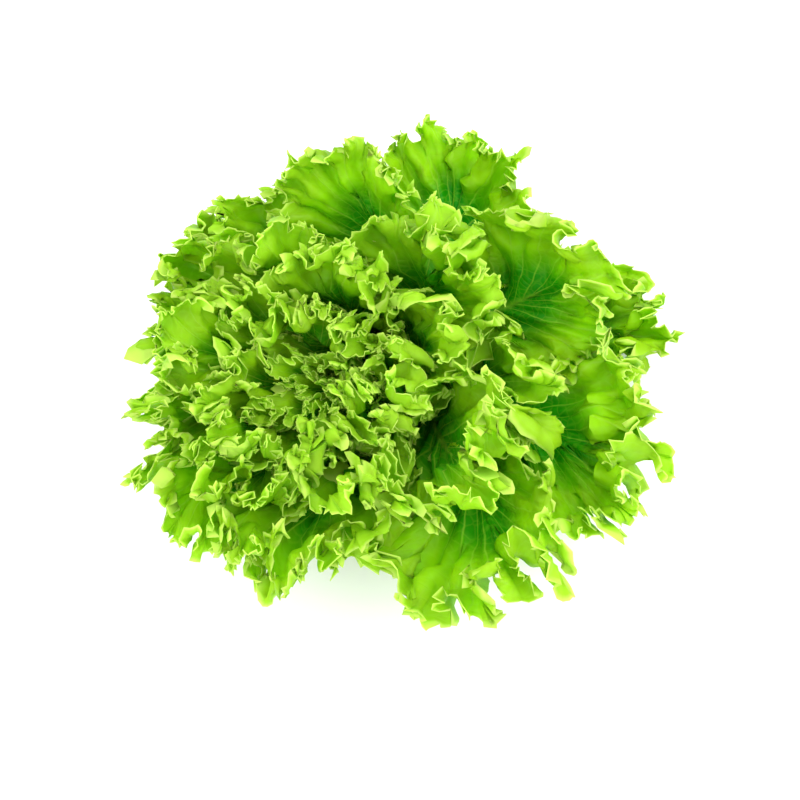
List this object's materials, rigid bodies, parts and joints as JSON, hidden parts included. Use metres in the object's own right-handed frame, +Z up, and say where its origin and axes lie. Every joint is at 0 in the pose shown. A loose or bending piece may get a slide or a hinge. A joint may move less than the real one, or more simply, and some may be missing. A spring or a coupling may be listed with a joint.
{
  "type": "batavia lettuce head",
  "caption": "Fresh batavia lettuce head, a loose rosette of ruffled bright green leaves round a short cut stem, leaning, with a finely frilled heart.",
  "frame": {"origin": "centre of the cut face of the stem, on the surface that the head rests on", "axes": "+Z up out of the cut face; the heart leans towards -X and -Y, and -Y faces the viewer"},
  "size_m": [0.317, 0.3411, 0.1914],
  "materials": {
    "stem": "moist pale cut stem",
    "leaf_01": "fresh leaf, soft low gloss",
    "leaf_02": "fresh leaf, soft low gloss",
    "leaf_03": "fresh leaf, soft low gloss",
    "leaf_04": "fresh leaf, soft low gloss",
    "leaf_05": "fresh leaf, soft low gloss",
    "leaf_06": "fresh leaf, soft low gloss",
    "leaf_07": "fresh leaf, soft low gloss",
    "leaf_08": "fresh leaf, soft low gloss",
    "leaf_09": "fresh leaf, soft low gloss",
    "leaf_10": "fresh leaf, soft low gloss",
    "leaf_11": "fresh leaf, soft low gloss",
    "leaf_12": "fresh leaf, soft low gloss",
    "leaf_13": "fresh leaf, soft low gloss",
    "leaf_14": "fresh leaf, soft low gloss",
    "leaf_15": "fresh leaf, soft low gloss",
    "leaf_16": "fresh leaf, soft low gloss",
    "leaf_17": "fresh leaf, soft low gloss",
    "leaf_18": "fresh leaf, soft low gloss",
    "leaf_19": "fresh leaf, soft low gloss",
    "leaf_20": "fresh leaf, soft low gloss",
    "leaf_21": "fresh leaf, soft low gloss",
    "leaf_22": "fresh leaf, soft low gloss",
    "leaf_23": "fresh leaf, soft low gloss",
    "leaf_24": "fresh leaf, soft low gloss",
    "leaf_25": "fresh leaf, soft low gloss",
    "leaf_26": "fresh leaf, soft low gloss",
    "leaf_27": "fresh leaf, soft low gloss",
    "leaf_28": "fresh leaf, soft low gloss",
    "leaf_29": "fresh leaf, soft low gloss",
    "leaf_30": "fresh leaf, soft low gloss",
    "leaf_31": "fresh leaf, soft low gloss",
    "leaf_32": "fresh leaf, soft low gloss",
    "leaf_33": "fresh leaf, soft low gloss",
    "leaf_34": "fresh leaf, soft low gloss",
    "heart": "fresh young leaf, soft low gloss"
  },
  "bodies": {
    "root": {"stem": "stem", "leaf_01": "leaf_01", "leaf_02": "leaf_02", "leaf_03": "leaf_03", "leaf_04": "leaf_04", "leaf_05": "leaf_05", "leaf_06": "leaf_06", "leaf_07": "leaf_07", "leaf_08": "leaf_08", "leaf_09": "leaf_09", "leaf_10": "leaf_10", "leaf_11": "leaf_11", "leaf_12": "leaf_12", "leaf_13": "leaf_13", "leaf_14": "leaf_14", "leaf_15": "leaf_15", "leaf_16": "leaf_16", "leaf_17": "leaf_17", "leaf_18": "leaf_18", "leaf_19": "leaf_19", "leaf_20": "leaf_20", "leaf_21": "leaf_21", "leaf_22": "leaf_22", "leaf_23": "leaf_23", "leaf_24": "leaf_24", "leaf_25": "leaf_25", "leaf_26": "leaf_26", "leaf_27": "leaf_27", "leaf_28": "leaf_28", "leaf_29": "leaf_29", "leaf_30": "leaf_30", "leaf_31": "leaf_31", "leaf_32": "leaf_32", "leaf_33": "leaf_33", "leaf_34": "leaf_34", "heart": "heart"}
  },
  "joints": []
}
